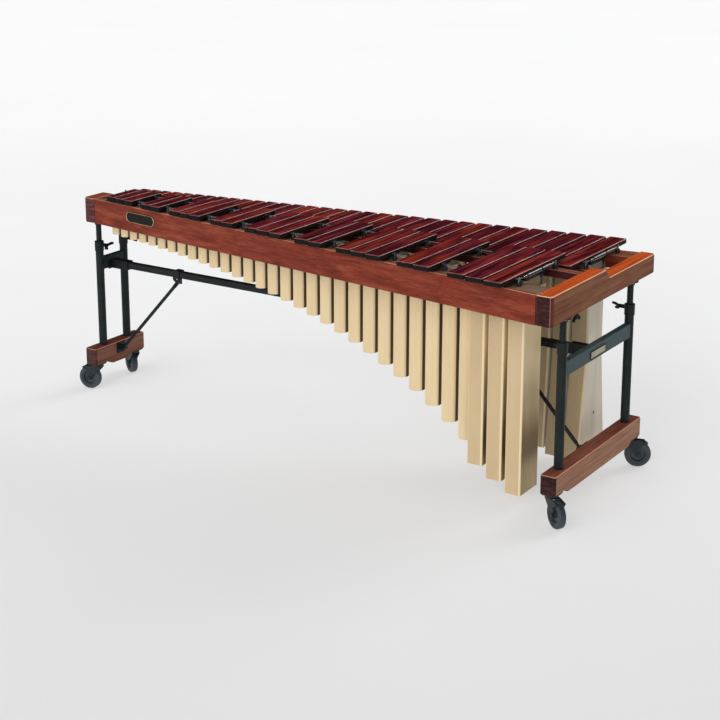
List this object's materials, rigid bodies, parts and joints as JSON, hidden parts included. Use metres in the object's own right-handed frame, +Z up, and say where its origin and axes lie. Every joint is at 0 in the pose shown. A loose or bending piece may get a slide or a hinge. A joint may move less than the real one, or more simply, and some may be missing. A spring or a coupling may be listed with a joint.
{
  "type": "marimba",
  "caption": "Concert marimba with rosewood bars on cords, arched champagne resonator pipes and bass boxes, and a height-adjustable rolling stand with a tapering wooden frame.",
  "frame": {"origin": "on the floor under the middle of the frame", "axes": "+X along the keyboard from the treble end to the bass end, +Y from the audience side to the player, +Z up"},
  "size_m": [2.5134, 0.953, 0.9],
  "materials": {
    "frame_wood": "glossy red-brown lacquer",
    "rail_wood": "satin brown lacquer",
    "foot_wood": "satin red-brown lacquer",
    "bar_rosewood": "semi-gloss dark red rosewood",
    "cord": "braided",
    "post_steel": "bright plated",
    "grommet_rubber": "matte",
    "resonator_gold": "champagne satin anodised",
    "stopper_metal": "plain",
    "stand_black": "black powder coat",
    "screw_black": "black",
    "screw_steel": "zinc plated",
    "badge": "dark gloss, bare",
    "plate": "dull, bare",
    "tyre": "matte",
    "hub": "dark moulded",
    "caster_metal": "dark enamel",
    "pedal": "dark moulded"
  },
  "bodies": {
    "stand": {"lower_leg_tubes": "stand_black", "leg_collars": "stand_black", "treble_crossbeam": "stand_black", "bass_crossbeam": "stand_black", "crossbeam_plate": "plate", "stretcher": "stand_black", "stretcher_fittings": "stand_black", "treble_foot": "foot_wood", "bass_foot": "foot_wood", "brace_brackets": "stand_black", "caster_plates": "caster_metal"},
    "upper_frame": {"treble_end_block": "frame_wood", "bass_end_block": "frame_wood", "front_board": "frame_wood", "accidental_outer_rail": "rail_wood", "accidental_inner_rail": "rail_wood", "natural_inner_rail": "rail_wood", "natural_outer_rail": "rail_wood", "accidental_bars": "bar_rosewood", "natural_bars": "bar_rosewood", "accidental_cords": "cord", "natural_cords": "cord", "accidental_cord_posts": "post_steel", "natural_cord_posts": "post_steel", "post_grommets": "grommet_rubber", "accidental_tubes": "resonator_gold", "accidental_bass_boxes": "resonator_gold", "natural_tubes": "resonator_gold", "natural_bass_boxes": "resonator_gold", "box_mouth_trim": "grommet_rubber", "tuning_stoppers": "stopper_metal", "accidental_bank_frame": "resonator_gold", "natural_bank_frame": "resonator_gold", "bank_brackets": "stand_black", "upper_leg_tubes": "stand_black", "leg_flanges": "stand_black", "flange_screws": "screw_steel", "front_badge": "badge"},
    "treble_brace": {"treble_brace": "stand_black"},
    "bass_brace": {"bass_brace": "stand_black"},
    "wing_screw_lf": {"wing_screw_lf": "screw_black"},
    "wing_screw_lr": {"wing_screw_lr": "screw_black"},
    "wing_screw_rf": {"wing_screw_rf": "screw_black"},
    "wing_screw_rr": {"wing_screw_rr": "screw_black"},
    "caster_lf": {"caster_fork_lf": "caster_metal"},
    "wheel_lf": {"caster_hub_lf": "hub", "caster_tyre_lf": "tyre"},
    "brake_lf": {"caster_brake_lf": "pedal"},
    "caster_lr": {"caster_fork_lr": "caster_metal"},
    "wheel_lr": {"caster_hub_lr": "hub", "caster_tyre_lr": "tyre"},
    "brake_lr": {"caster_brake_lr": "pedal"},
    "caster_rf": {"caster_fork_rf": "caster_metal"},
    "wheel_rf": {"caster_hub_rf": "hub", "caster_tyre_rf": "tyre"},
    "brake_rf": {"caster_brake_rf": "pedal"},
    "caster_rr": {"caster_fork_rr": "caster_metal"},
    "wheel_rr": {"caster_hub_rr": "hub", "caster_tyre_rr": "tyre"},
    "brake_rr": {"caster_brake_rr": "pedal"}
  },
  "joints": [
    {"name": "height_adjust", "type": "slide", "parent": "stand", "child": "upper_frame", "axis": [0, 0, 1], "range_m": [-0.02, 0.08]},
    {"name": "treble_brace_swing", "type": "hinge", "parent": "stand", "child": "treble_brace", "pos_m": [-1.122, 0, 0.168], "axis": [0, 1, 0], "range_deg": [0, 45]},
    {"name": "bass_brace_swing", "type": "hinge", "parent": "stand", "child": "bass_brace", "pos_m": [1.122, 0, 0.168], "axis": [0, -1, 0], "range_deg": [0, 45]},
    {"name": "wing_screw_lf_turn", "type": "hinge", "parent": "stand", "child": "wing_screw_lf", "pos_m": [-1.173, -0.078, 0.654], "axis": [1, 0, 0], "range_deg": [0, 270]},
    {"name": "wing_screw_lr_turn", "type": "hinge", "parent": "stand", "child": "wing_screw_lr", "pos_m": [-1.173, 0.078, 0.654], "axis": [1, 0, 0], "range_deg": [0, 270]},
    {"name": "wing_screw_rf_turn", "type": "hinge", "parent": "stand", "child": "wing_screw_rf", "pos_m": [1.173, -0.285, 0.654], "axis": [-1, 0, 0], "range_deg": [0, 270]},
    {"name": "wing_screw_rr_turn", "type": "hinge", "parent": "stand", "child": "wing_screw_rr", "pos_m": [1.173, 0.285, 0.654], "axis": [-1, 0, 0], "range_deg": [0, 270]},
    {"name": "caster_lf_swivel", "type": "hinge", "parent": "stand", "child": "caster_lf", "pos_m": [-1.173, -0.122, 0.11], "axis": [0, 0, 1], "continuous": true},
    {"name": "wheel_lf_spin", "type": "hinge", "parent": "caster_lf", "child": "wheel_lf", "pos_m": [-1.20919, -0.12969, 0.051], "axis": [0.2079, -0.9781, 0], "continuous": true},
    {"name": "brake_lf_press", "type": "hinge", "parent": "caster_lf", "child": "brake_lf", "pos_m": [-1.23365, -0.13489, 0.0992], "axis": [0.2079, -0.9781, 0], "range_deg": [0, 11]},
    {"name": "caster_lr_swivel", "type": "hinge", "parent": "stand", "child": "caster_lr", "pos_m": [-1.173, 0.122, 0.11], "axis": [0, 0, 1], "continuous": true},
    {"name": "wheel_lr_spin", "type": "hinge", "parent": "caster_lr", "child": "wheel_lr", "pos_m": [-1.20567, 0.13937, 0.051], "axis": [-0.4695, -0.8829, 0], "continuous": true},
    {"name": "brake_lr_press", "type": "hinge", "parent": "caster_lr", "child": "brake_lr", "pos_m": [-1.22774, 0.15111, 0.0992], "axis": [-0.4695, -0.8829, 0], "range_deg": [0, 11]},
    {"name": "caster_rf_swivel", "type": "hinge", "parent": "stand", "child": "caster_rf", "pos_m": [1.173, -0.33, 0.11], "axis": [0, 0, 1], "continuous": true},
    {"name": "wheel_rf_spin", "type": "hinge", "parent": "caster_rf", "child": "wheel_rf", "pos_m": [1.20331, -0.35122, 0.051], "axis": [0.5736, 0.8192, 0], "continuous": true},
    {"name": "brake_rf_press", "type": "hinge", "parent": "caster_rf", "child": "brake_rf", "pos_m": [1.22379, -0.36556, 0.0992], "axis": [0.5736, 0.8192, 0], "range_deg": [0, 11]},
    {"name": "caster_rr_swivel", "type": "hinge", "parent": "stand", "child": "caster_rr", "pos_m": [1.173, 0.33, 0.11], "axis": [0, 0, 1], "continuous": true},
    {"name": "wheel_rr_spin", "type": "hinge", "parent": "caster_rr", "child": "wheel_rr", "pos_m": [1.20438, 0.34961, 0.051], "axis": [-0.5299, 0.848, 0], "continuous": true},
    {"name": "brake_rr_press", "type": "hinge", "parent": "caster_rr", "child": "brake_rr", "pos_m": [1.22558, 0.36285, 0.0992], "axis": [-0.5299, 0.848, 0], "range_deg": [0, 11]}
  ]
}
